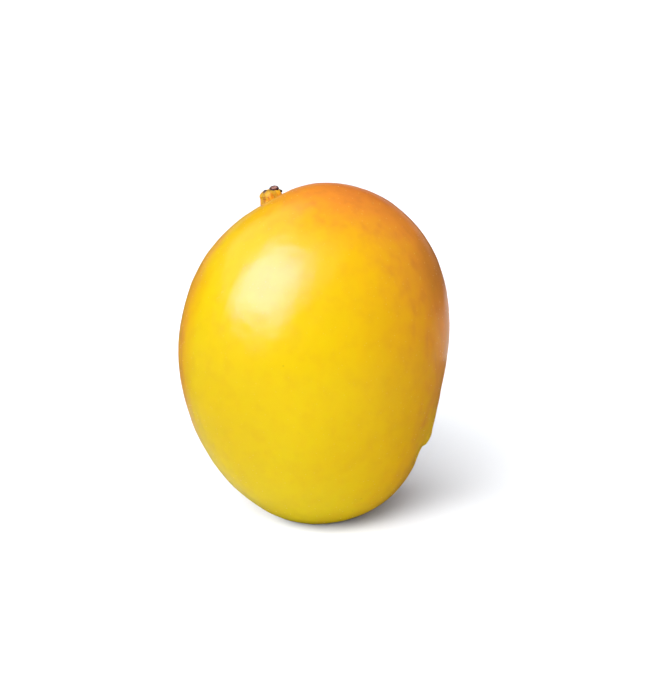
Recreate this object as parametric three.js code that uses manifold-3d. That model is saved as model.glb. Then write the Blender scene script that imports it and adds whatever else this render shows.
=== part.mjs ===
// A ripe mango standing on its narrow end, with a stub of its stalk still in the stem end.
//
// Units are millimetres and +Z is up. The origin is the centre of the flat spot that the fruit
// rests on. The broad cheek faces -Y, the beak is on the +X flank, and the stem end lies on the
// -X side of the crown, turned a little towards +Y.
import * as THREE from "three";
import { mergeVertices } from "three/addons/utils/BufferGeometryUtils.js";
import Module from "manifold-3d";

const { degToRad, smoothstep } = THREE.MathUtils;

// ---- Driving dimensions -------------------------------------------------------------------

// The fruit is a rounded body FRUIT_HEIGHT tall. It is pressed flat by REST_PRESS at its foot.
const FRUIT_HEIGHT = 108.5;
const REST_PRESS = 0.9;

// How far the skin reaches from the upright axis at each latitude, as the half-width of the
// ellipse that would pass there. Equal numbers in a column would make that side an ellipse.
const GIRTH = [
  // latitude, left, right, front, back
  [-90, 39, 44.5, 36, 35],
  [-60, 39.3, 45, 36.5, 35],
  [-40, 41, 42.1, 37.5, 35.5],
  [-20, 42.4, 39.9, 38, 36],
  [10, 44.1, 42.2, 38, 36],
  [40, 44.5, 44.9, 38, 36],
  [65, 41, 46.5, 37, 36],
  [90, 38, 46.5, 36, 36],
];

// The crown stands this far to the right of the foot, and this far behind it.
const LEAN = { right: 3.5, back: 8 };

// Slow dents and swellings all over the skin, as any fruit has.
const UNEVENNESS = 0.3;

// The beak is a low nub on the right flank, turned a little to the front. It fades out slowly
// above and ends in a short lip, and the sinus is the dip just under that.
const BEAK = { height: 29.4, front: 5, reach: 1.3, fade: 12, edge: 1.4, halfWidth: 6 };
const SINUS = { below: 4.6, depth: 1.2, span: 3.2 };

// The stem end: where the stub stands, which way it points, and the shallow basin round it.
const STEM = { latitude: 61, azimuth: 145, tiltLeft: 17, tiltBack: 6 };
const BASIN = { depth: 1.3, radius: 7 };

// The stub of the stalk: a lobed knuckle that narrows upwards, with the corky end of the broken
// stalk on top of it and a scar where a bract fell off on either side of that.
const KNUCKLE = { footRadius: 4.2, topRadius: 3.5, height: 4.6, root: 2.6, lobes: 5, lobeDepth: 0.2 };
const STALK_END = { radius: 1.7, rise: 1.1, offset: 1.2, height: 4.1 };
const SCARS = [
  { radius: 0.7, rise: 0.5, offset: -1.4, height: 4.1 },
  { radius: 0.8, rise: 0.5, offset: 2.7, height: 3.7 },
];
const SOCKET_GAP = 0.3;

// How finely the surfaces are divided. Rings and meridians crowd together round the beak.
const RINGS = 56;
const MERIDIANS = 80;
const CROWDING = 0.45;

// ---- Shared helpers -----------------------------------------------------------------------

const wasm = await Module();
wasm.setup();

/** The geometry with only its positions, and each shared corner stored once. */
function welded(geometry) {
  geometry.deleteAttribute("normal");
  geometry.deleteAttribute("uv");
  return mergeVertices(geometry);
}

/** Moves every vertex of a geometry to the place that the function gives for it. */
function reshape(geometry, place) {
  const position = geometry.getAttribute("position");
  const point = new THREE.Vector3();
  for (let i = 0; i < position.count; i += 1) {
    point.fromBufferAttribute(position, i);
    position.setXYZ(i, ...place(point));
  }
  return geometry;
}

/** A closed geometry as a solid that can be joined and cut. */
function solidOf(geometry) {
  const shape = welded(geometry);
  return new wasm.Manifold(
    new wasm.Mesh({
      numProp: 3,
      vertProperties: new Float32Array(shape.getAttribute("position").array),
      triVerts: new Uint32Array(shape.index.array),
    }),
  );
}

/** A solid as a geometry that a mesh can show. */
function geometryOf(solid) {
  const mesh = solid.getMesh();
  const geometry = new THREE.BufferGeometry();
  geometry.setAttribute("position", new THREE.BufferAttribute(mesh.vertProperties, 3));
  geometry.setIndex(new THREE.BufferAttribute(mesh.triVerts, 1));
  geometry.computeVertexNormals();
  return geometry;
}

/** A smooth hump, 1 at the middle and fading to nothing a couple of spans away. */
const hump = (distance, span) => Math.exp(-((distance / span) ** 2));

// ---- The fruit ----------------------------------------------------------------------------

// The body runs from REST_PRESS below the surface it stands on to the crown.
const HALF_HEIGHT = (FRUIT_HEIGHT + REST_PRESS) / 2;
const MIDDLE = FRUIT_HEIGHT - HALF_HEIGHT;
const FOOT_LATITUDE = -Math.asin(MIDDLE / HALF_HEIGHT);

const girth = new THREE.CubicInterpolant(
  GIRTH.map(([latitude]) => degToRad(latitude)),
  GIRTH.flatMap(([, ...reaches]) => reaches),
  4,
  new Float32Array(4),
);

/** The plain body, with no beak and no basin: a stack of level ellipses. */
function bodyPoint(latitude, azimuth) {
  const [left, right, front, back] = girth.evaluate(latitude);
  const across = Math.cos(latitude);
  const x = (right - left) / 2 + ((right + left) / 2) * Math.cos(azimuth);
  const y = (back - front) / 2 + ((back + front) / 2) * Math.sin(azimuth);
  const lean = ((1 + Math.sin(latitude)) / 2) ** 2;
  return new THREE.Vector3(
    x * across + LEAN.right * lean,
    y * across + LEAN.back * lean,
    MIDDLE + HALF_HEIGHT * Math.sin(latitude),
  );
}

const stemFoot = bodyPoint(degToRad(STEM.latitude), degToRad(STEM.azimuth));
const stemAxis = new THREE.Vector3(
  -Math.tan(degToRad(STEM.tiltLeft)),
  Math.tan(degToRad(STEM.tiltBack)),
  1,
).normalize();

/** How far the beak and the sinus move the right flank outwards at a point of the body. */
function beakReach(point, azimuth) {
  const above = point.z - BEAK.height;
  const nub = BEAK.reach * hump(above, above > 0 ? BEAK.fade : BEAK.edge);
  const dip = SINUS.depth * hump(above + SINUS.below, SINUS.span);
  const onFlank = smoothstep(Math.cos(azimuth), 0, 0.6);
  return (nub - dip) * hump(point.y + BEAK.front, BEAK.halfWidth) * onFlank;
}

/** How far the skin swells at a latitude and azimuth. It fades out towards the foot. */
function swelling(latitude, azimuth) {
  const wave =
    Math.sin(2 * azimuth + 3 * latitude + 0.6) +
    Math.sin(3 * azimuth - 2 * latitude + 2.1) * 0.8 +
    Math.sin(5 * latitude + azimuth + 4) * 0.5;
  return UNEVENNESS * wave * Math.cos(latitude) * smoothstep(latitude, FOOT_LATITUDE, -0.5);
}

/** A point of the skin. */
function skinPoint(latitude, azimuth) {
  const point = bodyPoint(latitude, azimuth);
  point.x += beakReach(point, azimuth);
  point.x += swelling(latitude, azimuth) * Math.cos(azimuth);
  point.y += swelling(latitude, azimuth) * Math.sin(azimuth);
  const sunk = BASIN.depth * hump(point.distanceTo(stemFoot), BASIN.radius);
  return point.addScaledVector(stemAxis, -sunk);
}

/** Crowds evenly spaced angles towards the one given. A full turn stays a full turn. */
const crowded = (angle, towards) => angle - CROWDING * Math.sin(angle - towards);

/** The latitude of a ring, from its share of the way up. The lowest ring edges the flat spot. */
function ringLatitude(share) {
  const beakLatitude = Math.asin((BEAK.height - MIDDLE) / HALF_HEIGHT);
  const lowest = crowded(FOOT_LATITUDE, beakLatitude);
  const highest = crowded(Math.PI / 2, beakLatitude);
  const even = FOOT_LATITUDE + share * (Math.PI / 2 - FOOT_LATITUDE);
  const settled = (crowded(even, beakLatitude) - lowest) / (highest - lowest);
  return FOOT_LATITUDE + settled * (Math.PI / 2 - FOOT_LATITUDE);
}

/** The whole fruit. The lower pole of the sphere becomes the middle of the flat spot. */
function fruitGeometry() {
  const sphere = welded(new THREE.SphereGeometry(1, MERIDIANS, RINGS).rotateX(Math.PI / 2));
  return reshape(sphere, ({ x, y, z }) => {
    const ring = (RINGS * (Math.PI / 2 + Math.asin(THREE.MathUtils.clamp(z, -1, 1)))) / Math.PI;
    if (ring < 0.5) return [0, 0, 0];
    return skinPoint(ringLatitude((ring - 1) / (RINGS - 1)), crowded(Math.atan2(y, x), 0));
  });
}

// ---- The stub of the stalk ----------------------------------------------------------------

/** The knuckle, standing on the stem foot with its root below it. */
function knuckleGeometry() {
  const { footRadius, topRadius, height, root, lobes, lobeDepth } = KNUCKLE;
  const outline = new THREE.Path()
    .moveTo(0, -root)
    .lineTo(footRadius * 0.9, -root)
    .lineTo(footRadius, 0)
    .lineTo(topRadius, height * 0.6)
    .quadraticCurveTo(topRadius * 0.9, height, 0, height);
  const lathe = new THREE.LatheGeometry(outline.getPoints(6), 30).rotateX(Math.PI / 2);
  return reshape(lathe, ({ x, y, z }) => {
    const lobe = (lobeDepth / topRadius) * Math.cos(lobes * Math.atan2(y, x));
    const swell = 1 + lobe * smoothstep(z, 0, height);
    return [x * swell, y * swell, z];
  });
}

/** A low dome on the knuckle's top, offset to the right of the knuckle's own axis. */
function domeGeometry({ radius, rise, offset, height }) {
  return new THREE.SphereGeometry(1, 14, 8)
    .rotateX(Math.PI / 2)
    .scale(radius, radius, rise)
    .translate(offset, 0, height);
}

// ---- Assembly -----------------------------------------------------------------------------

const stemPlace = new THREE.Group();
stemPlace.position.copy(stemFoot).addScaledVector(stemAxis, -BASIN.depth);
stemPlace.quaternion.setFromUnitVectors(new THREE.Vector3(0, 0, 1), stemAxis);
stemPlace.updateMatrix();

// The socket is a round hole a little wider than the knuckle's foot, where its root sits.
const socket = new THREE.CylinderGeometry(
  KNUCKLE.footRadius + SOCKET_GAP,
  KNUCKLE.footRadius + SOCKET_GAP,
  KNUCKLE.root + KNUCKLE.height,
  30,
)
  .rotateX(Math.PI / 2)
  .translate(0, 0, (KNUCKLE.height - KNUCKLE.root) / 2 - SOCKET_GAP)
  .applyMatrix4(stemPlace.matrix);

const fruit = new THREE.Mesh(
  geometryOf(solidOf(fruitGeometry()).subtract(solidOf(socket))),
  new THREE.MeshStandardMaterial({ color: 0xf2c418, roughness: 0.42, metalness: 0 }),
);
fruit.name = "fruit";

const stubSolid = [STALK_END, ...SCARS].reduce(
  (solid, dome) => solid.add(solidOf(domeGeometry(dome))),
  solidOf(knuckleGeometry()),
);

const stub = new THREE.Mesh(
  geometryOf(stubSolid),
  new THREE.MeshStandardMaterial({ color: 0xc98a1e, roughness: 0.7, metalness: 0 }),
);
stub.name = "stem_stub";
stemPlace.add(stub);

const mango = new THREE.Group();
mango.add(fruit, stemPlace);

export default mango;
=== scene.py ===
import math

import bmesh
import bpy
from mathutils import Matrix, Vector


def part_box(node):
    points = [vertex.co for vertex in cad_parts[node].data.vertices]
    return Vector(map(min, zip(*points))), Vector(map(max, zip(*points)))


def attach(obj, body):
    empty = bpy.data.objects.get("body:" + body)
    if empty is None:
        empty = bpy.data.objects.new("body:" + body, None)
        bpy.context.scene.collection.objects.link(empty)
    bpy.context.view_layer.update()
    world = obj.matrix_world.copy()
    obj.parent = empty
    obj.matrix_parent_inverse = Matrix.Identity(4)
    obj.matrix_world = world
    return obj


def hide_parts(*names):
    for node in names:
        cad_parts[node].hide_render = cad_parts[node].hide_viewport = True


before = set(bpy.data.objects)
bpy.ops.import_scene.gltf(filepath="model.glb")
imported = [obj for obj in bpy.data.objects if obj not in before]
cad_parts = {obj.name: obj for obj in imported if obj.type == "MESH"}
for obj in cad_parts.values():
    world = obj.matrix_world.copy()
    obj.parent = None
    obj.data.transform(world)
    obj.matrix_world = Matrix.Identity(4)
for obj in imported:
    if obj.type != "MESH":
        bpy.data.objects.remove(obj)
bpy.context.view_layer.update()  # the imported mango: nodes fruit and stem_stub

# ---- The fruit: shape ---------------------------------------------------------------------
# One mango, skin and flesh grown as one piece, pressed flat where it stands. A cube is divided
# and rounded into a ball of even quads, which is drawn on to the fruit's own surface.

MM = 0.001
BALL_CUTS = 59
WELD = 0.005 * MM


def only(piece):
    """Leaves nothing selected and active but this piece."""
    bpy.ops.object.select_all(action="DESELECT")
    piece.select_set(True)
    bpy.context.view_layer.objects.active = piece


def named(name):
    """Names the piece that was just added, and its mesh."""
    piece = bpy.context.object
    piece.name = piece.data.name = name
    return piece


def modify(piece, kind, **settings):
    """Gives a piece a modifier and applies it."""
    modifier = piece.modifiers.new(kind.lower(), kind)
    for name, value in settings.items():
        setattr(modifier, name, value)
    only(piece)
    bpy.ops.object.modifier_apply(modifier=modifier.name)


def roughen(piece, name, size, depth):
    """Pushes a piece's surface in and out with soft random lumps of this size."""
    lumps = bpy.data.textures.new(name, "CLOUDS")
    lumps.noise_scale = size
    modify(piece, "DISPLACE", texture=lumps, strength=depth, mid_level=0.5)


def select_where(piece, test):
    """In edit mode, selects the faces whose middle passes a test, and nothing else."""
    bpy.ops.mesh.select_mode(type="FACE")
    shape = bmesh.from_edit_mesh(piece.data)
    for face in shape.faces:
        face.select_set(test(face.calc_center_median()))
    shape.select_flush_mode()
    bmesh.update_edit_mesh(piece.data)


def merged_copy(node, name):
    """A copy of a node of the frame with its loose triangles joined up."""
    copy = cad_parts[node].copy()
    copy.data = copy.data.copy()
    copy.name = name
    bpy.context.collection.objects.link(copy)
    only(copy)
    bpy.ops.object.mode_set(mode="EDIT")
    bpy.ops.mesh.select_all(action="SELECT")
    bpy.ops.mesh.remove_doubles(threshold=WELD)
    bpy.ops.object.mode_set(mode="OBJECT")
    return copy


# The stub stands in a socket in the fruit. Its axis leans a little to the left and back.
STUB_LEAN_LEFT = math.radians(17)
STUB_LEAN_BACK = math.radians(6)
SOCKET_RADIUS = 4.6 * MM
SOCKET_MARGIN = 1 * MM
SAME_LEVEL = 0.01 * MM
stub_axis = Vector((-math.tan(STUB_LEAN_LEFT), math.tan(STUB_LEAN_BACK), 1)).normalized()
stub_corners = [corner.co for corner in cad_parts["stem_stub"].data.vertices]
root_level = min(corner.dot(stub_axis) for corner in stub_corners)
root_corners = [
    corner for corner in stub_corners if corner.dot(stub_axis) < root_level + SAME_LEVEL
]
stub_root = sum(root_corners, Vector()) / len(root_corners)


def in_socket(point):
    """Whether a point lies in the hole that the stub's root stands in."""
    height = (point - stub_root).dot(stub_axis)
    off_axis = (point - stub_root - stub_axis * height).length
    return height > -SOCKET_MARGIN and off_axis < SOCKET_RADIUS


# The ball is drawn on to a guide, the fruit with its socket closed over.
guide = merged_copy("fruit", "fruit_guide")
bpy.ops.object.mode_set(mode="EDIT")
select_where(guide, in_socket)
bpy.ops.mesh.delete(type="FACE")
bpy.ops.mesh.select_all(action="SELECT")
bpy.ops.mesh.fill_holes(sides=0)
bpy.ops.object.mode_set(mode="OBJECT")

low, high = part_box("fruit")
bpy.ops.mesh.primitive_cube_add(size=2, location=(low + high) / 2)
fruit = named("mango_fruit")
bpy.ops.object.mode_set(mode="EDIT")
bpy.ops.mesh.subdivide(number_cuts=BALL_CUTS)
bpy.ops.transform.tosphere(value=1)
bpy.ops.transform.resize(value=(high - low) / 2)
bpy.ops.object.mode_set(mode="OBJECT")
bpy.ops.object.transform_apply(location=True, rotation=True, scale=True)
modify(fruit, "SHRINKWRAP", target=guide, wrap_method="TARGET_PROJECT")

# The skin is evened out everywhere but at the beak, which keeps its lip and its notch.
BEAK_MIDDLE = Vector((high.x - 5 * MM, -5 * MM, 26.5 * MM))
BEAK_REACH = 9 * MM
BEAK_EVENING = 0.1
even = fruit.vertex_groups.new(name="even_skin")
bpy.ops.object.mode_set(mode="EDIT")
bpy.ops.mesh.select_all(action="SELECT")
bpy.ops.object.vertex_group_assign()
select_where(fruit, lambda middle: (middle - BEAK_MIDDLE).length < BEAK_REACH)
bpy.context.scene.tool_settings.vertex_group_weight = BEAK_EVENING
bpy.ops.object.vertex_group_assign()
bpy.ops.object.mode_set(mode="OBJECT")
modify(fruit, "SMOOTH", factor=0.5, iterations=6, vertex_group=even.name)
modify(fruit, "SUBSURF", levels=1, render_levels=1)
bpy.data.objects.remove(guide)
roughen(fruit, "skin_swells", size=16 * MM, depth=0.4 * MM)
roughen(fruit, "skin_dimples", size=4 * MM, depth=0.07 * MM)

# The sinus, a short crease under the beak, is pressed in, and the beak's lip drawn out over it.
BEAK_SIDE = 20 * MM
FINE_REACH = 11 * MM
SINUS_MIDDLE = Vector((33.0 * MM, -5 * MM, 25.0 * MM))
SINUS_HALF_WIDTH = 4 * MM
SINUS_HALF_HEIGHT = 0.35 * MM
SINUS_PRESS = (-1.1 * MM, 0, 0.3 * MM)
SINUS_PULL = 3.2 * MM
LIP_MIDDLE = Vector((36.3 * MM, -5 * MM, 29.0 * MM))
LIP_HALF_WIDTH = 3 * MM
LIP_HALF_HEIGHT = 0.4 * MM
LIP_DRAW = (0.25 * MM, 0, -0.5 * MM)
LIP_PULL = 3.0 * MM


def level_strip(point, half_width, half_height):
    """A test for faces in a short level strip of the beak's side, about a point."""
    return lambda middle: (
        abs(middle.z - point.z) < half_height
        and abs(middle.y - point.y) < half_width
        and middle.x > BEAK_SIDE
    )


bpy.ops.object.mode_set(mode="EDIT")
select_where(fruit, lambda middle: (middle - SINUS_MIDDLE).length < FINE_REACH)
bpy.ops.mesh.subdivide(number_cuts=1)
select_where(fruit, level_strip(SINUS_MIDDLE, SINUS_HALF_WIDTH, SINUS_HALF_HEIGHT))
bpy.ops.transform.translate(
    value=SINUS_PRESS,
    use_proportional_edit=True,
    proportional_edit_falloff="SHARP",
    proportional_size=SINUS_PULL,
)
select_where(fruit, level_strip(LIP_MIDDLE, LIP_HALF_WIDTH, LIP_HALF_HEIGHT))
bpy.ops.transform.translate(
    value=LIP_DRAW,
    use_proportional_edit=True,
    proportional_edit_falloff="SMOOTH",
    proportional_size=LIP_PULL,
)

# The weight of the fruit presses its foot flat.
FOOT_PRESS = 0.12 * MM
select_where(fruit, lambda middle: middle.z < FOOT_PRESS)
bpy.ops.transform.resize(value=(1, 1, 0), center_override=(0, 0, 0))
bpy.ops.object.mode_set(mode="OBJECT")
bpy.ops.object.shade_smooth()

# ---- The fruit: skin ----------------------------------------------------------------------
# A smooth, thin, waxy skin: yellow on the cheeks, with an orange blush over the crown and the
# back, and greener towards the foot. Pores and faint mottling cover all of it.


class Wire:
    """An output in a material's nodes. Arithmetic on it adds Math nodes."""

    def __init__(self, tree, socket=None):
        self.tree = tree
        self.socket = socket

    def node(self, kind, settings=None, inputs=None, out=0):
        """Adds a node: its settings first, then the values or wires of its sockets."""
        node = self.tree.nodes.new("ShaderNode" + kind)
        for name, value in (settings or {}).items():
            if name == "stops":
                set_stops(node.color_ramp, value)
            else:
                setattr(node, name, value)
        sockets = {socket.identifier: socket for socket in node.inputs}
        for name, value in (inputs or {}).items():
            socket = sockets[name]
            if isinstance(value, Wire):
                self.tree.links.new(value.socket, socket)
            else:
                socket.default_value = value
        return Wire(self.tree, node.outputs[out])

    def math(self, operation, first, second=0.0):
        """Adds a Math node."""
        return self.node("Math", {"operation": operation}, {"Value": first, "Value_001": second})

    def __add__(self, other):
        return self.math("ADD", self, other)

    def __sub__(self, other):
        return self.math("SUBTRACT", self, other)

    def __mul__(self, other):
        return self.math("MULTIPLY", self, other)

    __radd__ = __add__
    __rmul__ = __mul__

    def __rsub__(self, other):
        return self.math("SUBTRACT", other, self)

    def rise(self, start, end):
        """0 below start and 1 past end, with a smooth rise between them."""
        return self.node(
            "MapRange",
            {"interpolation_type": "SMOOTHSTEP"},
            {"Value": self, "From Min": start, "From Max": end},
        )

    def blend(self, first, second):
        """A colour between two, with this wire as the share of the second."""
        return self.node(
            "Mix",
            {"data_type": "RGBA"},
            {"Factor_Float": self, "A_Color": first, "B_Color": second},
            out=2,
        )

    # The rest are for wires that hold places or directions.

    def noise(self, size, detail):
        """Soft random patches about this wide, from 0 to 1."""
        return self.node(
            "TexNoise",
            {"noise_dimensions": "3D"},
            {"Vector": self, "Scale": 1 / size, "Detail": detail},
        )

    def mapped(self, **inputs):
        """The places moved, turned or scaled."""
        return self.node("Mapping", {"vector_type": "POINT"}, {"Vector": self, **inputs})

    def within(self, middle, reach):
        """The places measured from a middle, in units of a reach along each axis."""
        return self.mapped(
            Location=[-m / r for m, r in zip(middle, reach)],
            Scale=[1 / r for r in reach],
        )

    def part(self, axis):
        """The X, Y or Z of the places."""
        return self.node("SeparateXYZ", inputs={"Vector": self}, out=axis)

    def along(self, direction):
        """How far the places lie along a direction."""
        return self.node(
            "VectorMath",
            {"operation": "DOT_PRODUCT"},
            {"Vector": self, "Vector_001": direction},
            out="Value",
        )

    def distance(self, point):
        """How far the places are from a point."""
        return self.node(
            "VectorMath",
            {"operation": "DISTANCE"},
            {"Vector": self, "Vector_001": point},
            out="Value",
        )

    def length(self):
        """How far the places are from the origin."""
        return self.node("VectorMath", {"operation": "LENGTH"}, {"Vector": self}, out="Value")

    def dots(self, spacing, scatter):
        """How far the places are, in spacings, from the nearest of many scattered dots."""
        return self.node(
            "TexVoronoi",
            {"feature": "F1"},
            {"Vector": self, "Scale": 1 / spacing, "Randomness": scatter},
            out="Distance",
        )


def set_stops(ramp, stops):
    """Sets a colour ramp's stops from pairs of a place and a colour."""
    while len(ramp.elements) > 1:
        ramp.elements.remove(ramp.elements[-1])
    for index, (place, colour) in enumerate(stops):
        element = ramp.elements[0] if index == 0 else ramp.elements.new(place)
        element.position = place
        element.color = colour


def rgb(red, green, blue):
    """A colour given as it looks on a screen, 0 to 255, in the units that shaders use."""
    def linear(part):
        part /= 255
        return part / 12.92 if part <= 0.04045 else ((part + 0.055) / 1.055) ** 2.4

    return (linear(red), linear(green), linear(blue), 1.0)


def new_material(name):
    """An empty material: its start wire and its object-space places."""
    material = bpy.data.materials.new(name)
    material.use_nodes = True
    material.node_tree.nodes.clear()
    start = Wire(material.node_tree)
    return material, start, start.node("TexCoord", out="Object")


def bumps(relief, strength, depth):
    """The tilt that a relief gives a surface, for a shader's Normal."""
    return relief.node("Bump", inputs={"Strength": strength, "Distance": depth, "Height": relief})


def surface(shader):
    """Makes a shader the look of its material."""
    output = shader.tree.nodes.new("ShaderNodeOutputMaterial")
    shader.tree.links.new(shader.socket, output.inputs["Surface"])


skin, start, place = new_material("mango_skin")

# Which way a point faces from the middle of the fruit, 1 long at the skin.
facing = place.within((low + high) / 2, (high - low) / 2)

# The skin's own unevenness, from slow patches down to the texture of its peel.
STROKE_STRETCH = (1, 1, 0.35)
patches = place.noise(size=30 * MM, detail=3)
mottle = place.noise(size=5 * MM, detail=5)
strokes = place.mapped(Scale=STROKE_STRETCH).noise(size=3.5 * MM, detail=4)
grain = place.noise(size=1.2 * MM, detail=3)
peel = place.noise(size=0.55 * MM, detail=2)

# Ripeness runs from about -1 on the yellow cheek to 1 where the sun reached most. A fainter
# blush wraps round from the back on the other side.
BLUSH_TOWARDS = Vector((0.73, 0.65, 0.16)).normalized()
FAR_BLUSH_TOWARDS = Vector((-0.84, 0.54, 0.0)).normalized()
FAR_BLUSH_EDGE = (0.355, 0.675)
FAR_BLUSH_RAGGED = 0.25
FAR_BLUSH_RANGE = 1.27
FAR_BLUSH_LEAST = -1.05
BLUSH_MERGE = 0.3
toward_blush = facing.along(BLUSH_TOWARDS)
far_blush = facing.along(FAR_BLUSH_TOWARDS)
far_blush = (far_blush + (patches - 0.5) * FAR_BLUSH_RAGGED).rise(*FAR_BLUSH_EDGE)
far_blush = far_blush * FAR_BLUSH_RANGE + FAR_BLUSH_LEAST
blush = place.node(
    "Math",
    {"operation": "SMOOTH_MAX"},
    {"Value": toward_blush, "Value_001": far_blush, "Value_002": BLUSH_MERGE},
)

# The crown is the ripest part, and the foot and the beak ripen last.
CROWN_HEIGHTS = (93 * MM, 110 * MM)
CROWN_AHEAD = 0.36
FOOT_HEIGHTS = (4 * MM, 32 * MM)
FOOT_BEHIND = 0.1
BEAK_EDGE = (1 * MM, 15 * MM)
BEAK_RAGGED = 12 * MM
BEAK_BEHIND = 0.52
UNEVEN_PATCHES = 0.34
UNEVEN_MOTTLE = 0.24
UNEVEN_STROKES = 0.26
height = place.part("Z")
crown = height.rise(*CROWN_HEIGHTS)
foot = 1 - height.rise(*FOOT_HEIGHTS)
beak = 1 - (place.distance(LIP_MIDDLE) + (patches + mottle - 1) * BEAK_RAGGED).rise(*BEAK_EDGE)
uneven = (
    (patches - 0.5) * UNEVEN_PATCHES
    + (mottle - 0.5) * UNEVEN_MOTTLE
    + (strokes - 0.5) * UNEVEN_STROKES
)
ripeness = blush + crown * CROWN_AHEAD - foot * FOOT_BEHIND - beak * BEAK_BEHIND + uneven

SKIN_LIME = rgb(240, 213, 6)
SKIN_LEMON = rgb(248, 216, 5)
SKIN_YELLOW = rgb(248, 208, 4)
SKIN_GOLD = rgb(248, 200, 6)
SKIN_AMBER = rgb(248, 192, 8)
SKIN_APRICOT = rgb(247, 180, 22)
SKIN_ORANGE = rgb(247, 167, 36)
SKIN_CORAL = rgb(248, 153, 46)
SKIN_BLUSH = rgb(242, 140, 50)
SKIN_RED = rgb(230, 112, 42)
colour = ripeness.node(
    "ValToRGB",
    {"stops": [
        (0.03, SKIN_LEMON),
        (0.22, SKIN_YELLOW),
        (0.38, SKIN_GOLD),
        (0.48, SKIN_AMBER),
        (0.58, SKIN_APRICOT),
        (0.67, SKIN_ORANGE),
        (0.77, SKIN_CORAL),
        (0.88, SKIN_BLUSH),
        (1.00, SKIN_RED),
    ]},
    {"Fac": ripeness * 0.5 + 0.5},
)
LIME_STRENGTH = 0.9
LIME_EDGE = (-0.6, -0.1)
lime = foot * LIME_STRENGTH * (1 - ripeness.rise(*LIME_EDGE))
colour = lime.blend(colour, SKIN_LIME)

# Duller, browner strokes on the blushed side and one long streak. Painted shade browns three large
# areas: the upper right shoulder and the right flank, away from the main light, and the lit left
# cheek.
SKIN_BROWN = rgb(196, 124, 42)
SHOULDER_TOWARDS = (0.70, -0.05, 0.71)
FLANK_TOWARDS = (0.76, -0.62, 0.20)
CHEEK_TOWARDS = (-0.70, -0.70, -0.05)
SHADE_AREA_EDGE = (0.75, 1.05)
DULL_STROKES = (0.46, 0.70)
DULL_RIPENESS = (-0.1, 0.4)
STREAK_MIDDLE = Vector((0.84, -0.12, 0.52))
STREAK_SIZE = Vector((0.13, 0.30, 0.40))
STREAK_RAGGED = 0.8
STREAK_EDGE = (0.3, 1.2)
WORN_STROKES = 0.14
WORN_STREAK = 0.34
WORN_MOTTLE = 0.05
# How much painted shade browns the shoulder, the flank and the cheek.
SHOULDER_SHADE_STRENGTH = 0.26
FLANK_SHADE_STRENGTH = 0.19
CHEEK_SHADE_STRENGTH = 0.17
dull = strokes.rise(*DULL_STROKES) * ripeness.rise(*DULL_RIPENESS)
shoulder = facing.along(SHOULDER_TOWARDS).rise(*SHADE_AREA_EDGE)
flank = facing.along(FLANK_TOWARDS).rise(*SHADE_AREA_EDGE)
cheek = facing.along(CHEEK_TOWARDS).rise(*SHADE_AREA_EDGE)
streak = facing.within(STREAK_MIDDLE, STREAK_SIZE).length()
streak = 1 - (streak + (strokes - 0.5) * STREAK_RAGGED).rise(*STREAK_EDGE)
# The shoulder, flank and cheek terms are painted shade; the strokes, streak and mottle are the
# skin's own browning.
skin_browning_and_shade = (
    dull * WORN_STROKES
    + streak * WORN_STREAK
    + mottle.rise(0.45, 0.7) * WORN_MOTTLE
    + shoulder * SHOULDER_SHADE_STRENGTH
    + flank * FLANK_SHADE_STRENGTH
    + cheek * CHEEK_SHADE_STRENGTH
)
colour = skin_browning_and_shade.blend(colour, SKIN_BROWN)

# Pores: a pale dot every couple of millimetres, some larger than others.
PORE_PALE = rgb(250, 222, 84)
PORE_SPACING = 2.0 * MM
PORE_EDGE = (0.04, 0.17)
PORE_STRENGTH = 0.14
PORE_STRENGTH_RIPE = 0.12
pores = place.dots(PORE_SPACING, scatter=0.9) + (grain - 0.5) * 0.08 + (mottle - 0.5) * 0.12
pores = 1 - pores.rise(*PORE_EDGE)
pore_strength = PORE_STRENGTH + ripeness.rise(-0.4, 0.5) * PORE_STRENGTH_RIPE
colour = (pores * pore_strength).blend(colour, PORE_PALE)

# A few rubbed brown flecks.
FLECK_BROWN = rgb(120, 70, 20)
FLECK_SPACING = 7 * MM
FLECK_EDGE = (0.02, 0.06)
FLECK_STRENGTH = 0.18
flecks = place.dots(FLECK_SPACING, scatter=1.0) + (grain - 0.5) * 0.05
flecks = (1 - flecks.rise(*FLECK_EDGE)) * patches.rise(0.5, 0.6)
colour = (flecks * FLECK_STRENGTH).blend(colour, FLECK_BROWN)

# The wax is a little duller in the mottling and the pores. Pores and flecks lie a little deep.
relief = mottle * 0.8 + grain * 0.20 + peel * 0.05 - pores * 0.12 - flecks * 0.1
surface(start.node("BsdfPrincipled", inputs={
    "Base Color": colour,
    "Roughness": 0.24 + (mottle - 0.5) * 0.12 + (grain - 0.5) * 0.08 + pores * 0.06,
    "Normal": bumps(relief, strength=0.3, depth=0.2 * MM),
    "Specular IOR Level": 0.2,
    "Subsurface Weight": 0.12,
    "Subsurface Radius": (1.0, 0.45, 0.08),
    "Subsurface Scale": 3 * MM,
}))
fruit.data.materials.append(skin)

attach(fruit, "root")
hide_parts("fruit")

# ---- The knuckle of the stalk ---------------------------------------------------------------
# The swollen foot of the stalk, which stayed on the fruit when it was picked: a squat barrel of
# soft cork with five lobes, grown out of the basin in the crown. Extruded from a short root.

KNUCKLE_ROOT_DEPTH = 2.6 * MM
KNUCKLE_FOOT_RADIUS = 4.1 * MM
KNUCKLE_SIDES = 20
KNUCKLE_LOBES = 5
FURROW_ANGLE = math.radians(9)
FURROW_WIDTH_COSINE = 0.5
FURROW_START = 2.2 * MM
FURROW_PRESS = 0.92
KNUCKLE_TOP_INSET = 0.9 * MM
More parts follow.
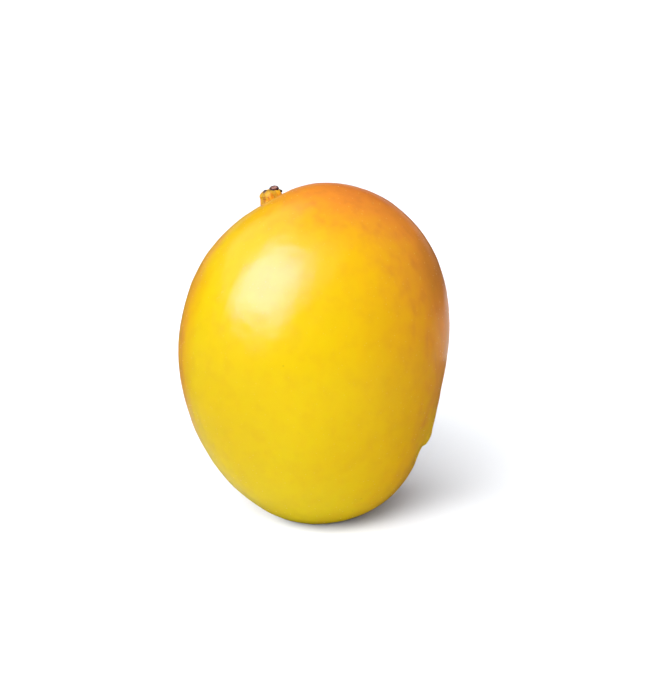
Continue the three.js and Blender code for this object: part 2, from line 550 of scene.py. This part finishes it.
# How many millimetres each ring of the barrel rises above the last, and how wide it is beside it.
KNUCKLE_RINGS = [
    (0.5, 1.02),
    (0.7, 0.95),
    (0.9, 0.96),
    (0.8, 0.97),
    (0.6, 0.93),
    (0.5, 0.84),
    (0.35, 0.80),
    (0.10, 0.72),
]

stub_foot = stub_root + stub_axis * KNUCKLE_ROOT_DEPTH
stub_turn = Vector((0, 0, 1)).rotation_difference(stub_axis)


def on_stub(x, y, z):
    """A place given in millimetres along the stub's own right, back and upward directions."""
    return stub_foot + stub_turn @ (Vector((x, y, z)) * MM)


def select_top(piece, depth):
    """In edit mode, selects the upper end of a cylinder this deep."""
    select_where(piece, lambda middle: middle.z > 0.49 * depth)


def extrude_up(rise, widen, middle):
    """Extrudes the selected faces along the piece's own Z, then widens or narrows them."""
    bpy.ops.mesh.extrude_region_move(
        TRANSFORM_OT_translate={"value": (0, 0, rise), "orient_type": "LOCAL"}
    )
    bpy.ops.transform.resize(
        value=(widen, widen, 1), orient_type="LOCAL", center_override=middle
    )


def settle(piece):
    """Puts a finished piece's place in its mesh, and shades it smooth."""
    only(piece)
    bpy.ops.object.transform_apply(location=True, rotation=True, scale=True)
    bpy.ops.object.shade_smooth()


bpy.ops.object.select_all(action="DESELECT")
bpy.ops.mesh.primitive_cylinder_add(
    vertices=KNUCKLE_SIDES,
    radius=KNUCKLE_FOOT_RADIUS,
    depth=KNUCKLE_ROOT_DEPTH,
    end_fill_type="NGON",
    location=on_stub(0, 0, -KNUCKLE_ROOT_DEPTH / MM / 2),
    rotation=stub_turn.to_euler(),
)
knuckle = named("stalk_knuckle")
bpy.ops.object.mode_set(mode="EDIT")
select_top(knuckle, KNUCKLE_ROOT_DEPTH)
for rise, widen in KNUCKLE_RINGS:
    extrude_up(rise * MM, widen, stub_foot)
bpy.ops.mesh.inset(thickness=KNUCKLE_TOP_INSET)
bpy.ops.mesh.poke()


def in_furrow(middle):
    """Whether a face's middle lies in one of the furrows between the lobes."""
    angle = math.atan2(middle.y, middle.x) - FURROW_ANGLE
    return (
        math.cos(KNUCKLE_LOBES * angle) > FURROW_WIDTH_COSINE
        and math.hypot(middle.x, middle.y) > FURROW_START
        and middle.z > KNUCKLE_ROOT_DEPTH
    )


select_where(knuckle, in_furrow)
bpy.ops.transform.resize(
    value=(FURROW_PRESS, FURROW_PRESS, 1), orient_type="LOCAL", center_override=stub_foot
)
bpy.ops.object.mode_set(mode="OBJECT")
modify(knuckle, "SUBSURF", levels=3, render_levels=3)
roughen(knuckle, "knuckle_lumps", size=1.6 * MM, depth=0.45 * MM)
roughen(knuckle, "knuckle_cork", size=0.45 * MM, depth=0.14 * MM)
settle(knuckle)

CORK_YELLOW = rgb(244, 186, 34)
CORK_AMBER = rgb(226, 146, 24)
CORK_OLIVE = rgb(142, 108, 32)
CORK_BROWN = rgb(96, 58, 26)
CORK_STRETCH = (1, 1, 0.3)
AMBER_EDGE = (0.45, 0.68)
AMBER_RAGGED = 0.6
SPECK_EDGE = (0.58, 0.72)
SPECK_STRENGTH = 0.65
OLIVE_TOP = 0.75
# Painted shade in the furrows between the lobes: its least olive, and how much more the streaks
# add.
FURROW_SHADE_LEAST = 0.1
FURROW_SHADE_STREAKS = 0.6
# The cork turns olive between these heights above its foot, in millimetres, give or take.
CORK_TOP = (3.6, 4.7)
CORK_TOP_RAGGED = 2.4


def stub_coordinates(place):
    """Places on the stub in its own directions: Z runs up its axis from its foot."""
    back = stub_turn.inverted()
    return place.mapped(Location=-(back @ stub_foot), Rotation=back.to_euler())


cork, start, place = new_material("stalk_cork")
own = stub_coordinates(place)
streaks = own.mapped(Scale=CORK_STRETCH).noise(size=0.9 * MM, detail=4)
blotches = own.noise(size=1.7 * MM, detail=4)
specks = own.noise(size=0.35 * MM, detail=3)
lobe_angle = own.math("ARCTAN2", own.part("Y"), own.part("X")) - FURROW_ANGLE
furrows = own.math("COSINE", lobe_angle * KNUCKLE_LOBES).rise(0.1, 1.0)

amber = (streaks + (blotches - 0.5) * AMBER_RAGGED).rise(*AMBER_EDGE)
colour = amber.blend(CORK_YELLOW, CORK_AMBER)
top = (own.part("Z") * (1 / MM) + (streaks - 0.5) * CORK_TOP_RAGGED).rise(*CORK_TOP)
colour = (top * OLIVE_TOP).blend(colour, CORK_OLIVE)
# Painted shade: the furrows between the lobes are darkened towards olive, in streaks.
colour = (furrows * (FURROW_SHADE_LEAST + streaks * FURROW_SHADE_STREAKS)).blend(colour, CORK_OLIVE)
colour = (specks.rise(*SPECK_EDGE) * SPECK_STRENGTH).blend(colour, CORK_BROWN)
relief = streaks + specks * 0.35 + blotches * 0.5
surface(start.node("BsdfPrincipled", inputs={
    "Base Color": colour,
    "Roughness": 0.58 + (specks - 0.5) * 0.3,
    "Normal": bumps(relief, strength=0.7, depth=0.15 * MM),
    "Specular IOR Level": 0.15,
}))
knuckle.data.materials.append(cork)

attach(knuckle, "root")
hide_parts("stem_stub")

# ---- The broken end of the stalk ------------------------------------------------------------
# Where the stalk snapped off the knuckle: a ring of dark dried bark round a paler pith that has
# shrunk below it. A short cylinder, its top inset and pressed in, then made ragged.

END_SIDES = 16
END_RADIUS = 1.48 * MM
END_DEPTH = 1.0 * MM
END_FACE_HEIGHT = 1.45 * MM
END_FOOT = (1.5, -0.5, 3.2)
END_TILT_FORWARD = math.radians(17)
END_TILT_RIGHT = math.radians(10)
BARK_RIM = 0.28 * MM
PITH_RIM = 0.30 * MM

end_axis = Vector((math.tan(END_TILT_RIGHT), -math.tan(END_TILT_FORWARD), 1)).normalized()
end_turn = stub_turn @ Vector((0, 0, 1)).rotation_difference(end_axis)
end_foot = on_stub(*END_FOOT)

bpy.ops.mesh.primitive_cylinder_add(
    vertices=END_SIDES,
    radius=END_RADIUS,
    depth=END_DEPTH,
    end_fill_type="NGON",
    location=end_foot + stub_turn @ end_axis * 0.5 * END_DEPTH,
    rotation=end_turn.to_euler(),
)
stalk_end = named("stalk_broken_end")
bpy.ops.object.mode_set(mode="EDIT")
select_top(stalk_end, END_DEPTH)
# The ring of bark swells a little, then narrows to its inner edge.
extrude_up(0.35 * MM, 1.04, end_foot)
extrude_up(0.25 * MM, 0.90, end_foot)
bpy.ops.mesh.inset(thickness=BARK_RIM)
# The pith has sunk, and stands up again in its middle.
extrude_up(-0.22 * MM, 0.88, end_foot)
bpy.ops.mesh.inset(thickness=PITH_RIM)
extrude_up(0.10 * MM, 0.80, end_foot)
bpy.ops.mesh.poke()
bpy.ops.object.mode_set(mode="OBJECT")
modify(stalk_end, "SUBSURF", levels=3, render_levels=3)
roughen(stalk_end, "end_lumps", size=0.9 * MM, depth=0.40 * MM)
roughen(stalk_end, "end_shreds", size=0.28 * MM, depth=0.16 * MM)
settle(stalk_end)

BARK_DARK = rgb(58, 32, 24)
BARK_BROWN = rgb(110, 66, 34)
PITH_PINK = rgb(196, 146, 128)
PITH_TAN = rgb(150, 100, 72)
# Pith turns to bark between these distances from its middle, in millimetres, give or take.
PITH_EDGE = (0.75, 1.15)
PITH_RAGGED = 0.5

bark, start, place = new_material("stalk_bark")
own = stub_coordinates(place)
fibres = own.noise(size=0.3 * MM, detail=4)
blotches = own.noise(size=0.9 * MM, detail=3)
end_face = end_foot + stub_turn @ end_axis * END_FACE_HEIGHT
from_pith = own.distance(stub_turn.inverted() @ (end_face - stub_foot)) * (1 / MM)
pith = 1 - (from_pith + (fibres - 0.5) * PITH_RAGGED).rise(*PITH_EDGE)
colour = (blotches * 0.6 + fibres * 0.4).rise(0.45, 0.7).blend(BARK_DARK, BARK_BROWN)
colour = pith.blend(colour, fibres.rise(0.4, 0.65).blend(PITH_PINK, PITH_TAN))
surface(start.node("BsdfPrincipled", inputs={
    "Base Color": colour,
    "Roughness": 0.75 + (blotches - 0.5) * 0.3,
    "Normal": bumps(fibres, strength=0.8, depth=0.12 * MM),
    "Specular IOR Level": 0.25,
}))
stalk_end.data.materials.append(bark)

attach(stalk_end, "root")
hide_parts("stem_stub")

# ---- The bract scars ------------------------------------------------------------------------
# Two hard little scales, one on either side of the broken end, where bracts fell off the stalk.
# Each is a flattened ball with its upper edge drawn out to a blunt lip.

# A scar's half sizes in millimetres: to the right, back and up.
SCAR_SIZES = (0.74, 0.66, 0.46)
LEFT_SCAR_PLACE = on_stub(-1.2, -1.1, 4.05)
RIGHT_SCAR_PLACE = on_stub(3.05, -0.7, 2.95)
SCAR_EDGE = 0.30 * MM
SCAR_LIP = 0.18 * MM
SCAR_LIP_NARROWING = 0.55

bpy.ops.mesh.primitive_cube_add(
    size=2 * MM, location=LEFT_SCAR_PLACE, rotation=stub_turn.to_euler()
)
left_scar = named("bract_scar_left")
bpy.ops.object.mode_set(mode="EDIT")
bpy.ops.mesh.subdivide(number_cuts=3)
bpy.ops.transform.tosphere(value=1)
bpy.ops.transform.resize(
    value=SCAR_SIZES, orient_type="LOCAL", center_override=LEFT_SCAR_PLACE
)
select_where(left_scar, lambda middle: middle.z > SCAR_EDGE)
extrude_up(SCAR_LIP, SCAR_LIP_NARROWING, LEFT_SCAR_PLACE)
bpy.ops.object.mode_set(mode="OBJECT")
modify(left_scar, "SUBSURF", levels=2, render_levels=2)
roughen(left_scar, "scar_lumps", size=0.5 * MM, depth=0.2 * MM)

only(left_scar)
bpy.ops.object.duplicate(linked=False)
right_scar = named("bract_scar_right")
right_scar.location = RIGHT_SCAR_PLACE

OLIVE_DARK = rgb(64, 56, 28)
OLIVE_BROWN = rgb(120, 92, 40)

scar, start, place = new_material("bract_scar")
grain = place.noise(size=0.25 * MM, detail=4)
surface(start.node("BsdfPrincipled", inputs={
    "Base Color": grain.rise(0.4, 0.65).blend(OLIVE_DARK, OLIVE_BROWN),
    "Roughness": 0.6 + (grain - 0.5) * 0.3,
    "Normal": bumps(grain, strength=0.7, depth=0.08 * MM),
    "Specular IOR Level": 0.3,
}))
for piece in (left_scar, right_scar):
    settle(piece)
    piece.data.materials.append(scar)
    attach(piece, "root")
    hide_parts("stem_stub")

# ---- The studio ---------------------------------------------------------------------------
# A white paper floor under a white sky. The fruit's main softbox, high on the front left, leaves
# the floor out. The floor has three softboxes of its own, which make it whiter than the fruit.

# The floor shows one brightness to the camera, another in the light that it scatters on to the
# fruit, and another in what the waxy skin mirrors. The distances are from where the fruit stands.
FLOOR_SIZE = 12.0
FLOOR_WHITE = (0.415, 0.425, 0.44, 1.0)

# Scattered light, with the fruit's shadow painted in: a dark contact shadow where it stands, lit
# towards the front left, painted shade on the right and back, and a middle level further out.
SCATTER_CONTACT_SHADOW = (0.14, 0.14, 0.145, 1.0)
SCATTER_LIT = (0.29, 0.29, 0.295, 1.0)
SCATTER_SHADED = (0.188, 0.188, 0.198, 1.0)
SCATTER_OUTER = (0.235, 0.235, 0.24, 1.0)
SCATTER_SHADE_EDGE = (-100 * MM, 100 * MM)
SCATTER_CONTACT_SHADOW_EDGE = (8 * MM, 30 * MM)
SCATTER_OUTER_EDGE = (60 * MM, 220 * MM)

# Mirrored light, with painted shadow: a dark contact shadow under the fruit, lit on the left,
# painted shade on the right, and darker far out.
MIRROR_CONTACT_SHADOW = (0.018, 0.018, 0.018, 1.0)
MIRROR_LIT = (0.13, 0.13, 0.14, 1.0)
MIRROR_SHADED = (0.032, 0.032, 0.037, 1.0)
MIRROR_FAR = (0.046, 0.046, 0.046, 1.0)
MIRROR_SHADE_EDGE = (-10 * MM, 30 * MM)
MIRROR_CONTACT_SHADOW_EDGE = (10 * MM, 34 * MM)
MIRROR_FAR_EDGE = (90 * MM, 170 * MM)

# Far out, where its own softboxes fade, the floor glows as white as the sky.
GLOW_STRENGTH = 0.02
GLOW_NONE = (0, 0, 0, 1)
GLOW_NEAR = (1, 1, 1, 1)
GLOW_FAR = (50, 50, 50, 1)
GLOW_EDGE = (0.4, 1.5)

bpy.ops.mesh.primitive_plane_add(size=FLOOR_SIZE)
floor = named("studio_floor")
paper, start, place = new_material("studio_floor")
seen = start.node("LightPath", out="Is Camera Ray")
mirrored = start.node("LightPath", out="Is Glossy Ray")
away = place.length()
right = place.part("X")
back = place.part("Y")

# The floor's scattered and mirrored colours paint in the fruit's shadow.
scattered = (right + back).rise(*SCATTER_SHADE_EDGE).blend(SCATTER_LIT, SCATTER_SHADED)
scattered = away.rise(*SCATTER_CONTACT_SHADOW_EDGE).blend(SCATTER_CONTACT_SHADOW, scattered)
scattered = away.rise(*SCATTER_OUTER_EDGE).blend(scattered, SCATTER_OUTER)
in_mirror = right.rise(*MIRROR_SHADE_EDGE).blend(MIRROR_LIT, MIRROR_SHADED)
in_mirror = away.rise(*MIRROR_CONTACT_SHADOW_EDGE).blend(MIRROR_CONTACT_SHADOW, in_mirror)
in_mirror = away.rise(*MIRROR_FAR_EDGE).blend(in_mirror, MIRROR_FAR)
glow = away.rise(*GLOW_EDGE).blend(GLOW_NEAR, GLOW_FAR)
surface(start.node("BsdfPrincipled", inputs={
    "Base Color": seen.blend(mirrored.blend(scattered, in_mirror), FLOOR_WHITE),
    "Roughness": 0.9,
    "Specular IOR Level": 0.0,
    "Emission Color": seen.blend(GLOW_NONE, glow),
    "Emission Strength": GLOW_STRENGTH,
}))
floor.data.materials.append(paper)


def area_light(name, location, backward, wide, tall, power):
    """A rectangle of soft light, out of the camera's sight, with its back to a direction."""
    bpy.ops.object.light_add(type="AREA", location=location)
    light = bpy.context.object
    light.name = name
    light.rotation_euler = backward.to_track_quat("Z", "Y").to_euler()
    light.data.shape = "RECTANGLE"
    light.data.size = wide
    light.data.size_y = tall
    light.data.energy = power
    light.visible_camera = False
    return light


FRUIT_MIDDLE = Vector((0, 0, 54 * MM))
SOFTBOX_DISTANCE = 2.4


def softbox(name, leftward, upward, wide, tall, power):
    """A softbox that faces the fruit, so many degrees to the left of its front and up."""
    leftward = math.radians(leftward)
    upward = math.radians(upward)
    direction = Vector((
        -math.sin(leftward) * math.cos(upward),
        -math.cos(leftward) * math.cos(upward),
        math.sin(upward),
    ))
    location = FRUIT_MIDDLE + direction * SOFTBOX_DISTANCE
    return area_light(name, location, direction, wide, tall, power)


key = softbox("key_softbox", leftward=32, upward=60, wide=2.0, tall=2.0, power=43)
key.visible_glossy = False
all_but_floor = bpy.data.collections.new("all_but_floor")
all_but_floor.objects.link(floor)
all_but_floor.collection_objects[0].light_linking.link_state = "EXCLUDE"
key.light_linking.receiver_collection = all_but_floor

floor_only = bpy.data.collections.new("floor_only")
floor_only.objects.link(floor)
for light in (
    softbox("floor_front_softbox", leftward=10, upward=40, wide=1.8, tall=1.8, power=186),
    softbox("floor_low_softbox", leftward=43, upward=18, wide=1.3, tall=1.3, power=77),
    softbox("floor_left_softbox", leftward=84, upward=26, wide=1.6, tall=1.6, power=125),
):
    light.visible_glossy = False
    light.light_linking.receiver_collection = floor_only

# The softbox that the skin mirrors is brightest in its middle and fades towards its edges. Its
# violet tint makes up for the yellow under the wax.
GLOSS_TINT = (0.66, 0.44, 1.0)
FADE_IN = (0.0, 0.30)
FADE_OUT_ACROSS = (0.60, 1.0)
FADE_OUT_ALONG = (0.70, 1.0)
gloss = softbox("gloss_softbox", leftward=52.5, upward=44, wide=3.0, tall=2.3, power=525)
gloss.data.color = GLOSS_TINT
gloss.visible_diffuse = False
gloss.data.use_nodes = True
start = Wire(gloss.data.node_tree)
spot = start.node("NewGeometry", out="Parametric")
across = spot.part("X")
along = spot.part("Y")
fade = across.rise(*FADE_IN) * (1 - across.rise(*FADE_OUT_ACROSS))
fade = fade * along.rise(*FADE_IN) * (1 - along.rise(*FADE_OUT_ALONG))
start.tree.links.new(fade.socket, start.tree.nodes["Emission"].inputs["Strength"])

# A wide, dim sheet of light higher up gives the shoulder its faint sheen.
sheen = softbox("sheen_softbox", leftward=116, upward=48, wide=2.0, tall=2.0, power=20)
sheen.visible_diffuse = False

# A white card behind the fruit on the right, which only its right edge mirrors.
CARD_PLACE = Vector((130, 115, 15)) * MM
CARD_AIM = Vector((43, 0, 50)) * MM
card = area_light("rim_card", CARD_PLACE, CARD_PLACE - CARD_AIM, wide=0.20, tall=0.07, power=0.031)
card.visible_diffuse = False

# The sky is white to the camera. Its light grows upwards, and the skin mirrors mostly the part
# of it that lies low behind the fruit.
SKY_LOW = 0.34
SKY_HIGH = 0.64
SKY_GLOSS_FRONT = 0.036
SKY_GLOSS_BACK = 0.50
SKYLINE_BACK = (0.6, 0.95)
SKYLINE_UP = (0.0, 0.35)

sky = bpy.data.worlds.new("white_studio")
sky.use_nodes = True
background = sky.node_tree.nodes["Background"]
background.inputs["Color"].default_value = (1, 1, 1, 1)
start = Wire(sky.node_tree)
seen = start.node("LightPath", out="Is Camera Ray")
mirrored = start.node("LightPath", out="Is Glossy Ray")
direction = start.node("TexCoord", out="Generated")
upward = direction.part("Z")
sky_light = upward * (SKY_HIGH - SKY_LOW) + SKY_LOW
skyline = direction.part("Y").rise(*SKYLINE_BACK) * (1 - upward.rise(*SKYLINE_UP))
sky_gloss = skyline * (SKY_GLOSS_BACK - SKY_GLOSS_FRONT) + SKY_GLOSS_FRONT
sky_strength = sky_light + mirrored * (sky_gloss - sky_light) + seen * (1 - sky_light)
sky.node_tree.links.new(sky_strength.socket, background.inputs["Strength"])

scene = bpy.context.scene
scene.world = sky
scene.view_settings.view_transform = "Standard"

# ---- The camera ---------------------------------------------------------------------------
# It faces the broad cheek from the front, looking a little down, with a long lens from about
# two thirds of a metre away.

CAMERA_UPWARD = math.radians(18)
CAMERA_LENS = 110
CAMERA_SENSOR = 36
CAMERA_DISTANCE = 677.9 * MM
CAMERA_TARGET = Vector((3.62, 0.47, 56.44)) * MM
CAMERA_NEAREST = 10 * MM

camera_direction = Vector((0, -math.cos(CAMERA_UPWARD), math.sin(CAMERA_UPWARD)))
bpy.ops.object.camera_add(location=CAMERA_TARGET + camera_direction * CAMERA_DISTANCE)
camera = bpy.context.object
camera.rotation_euler = camera_direction.to_track_quat("Z", "Y").to_euler()
camera.data.lens = CAMERA_LENS
camera.data.sensor_width = CAMERA_SENSOR
camera.data.clip_start = CAMERA_NEAREST
scene.camera = camera
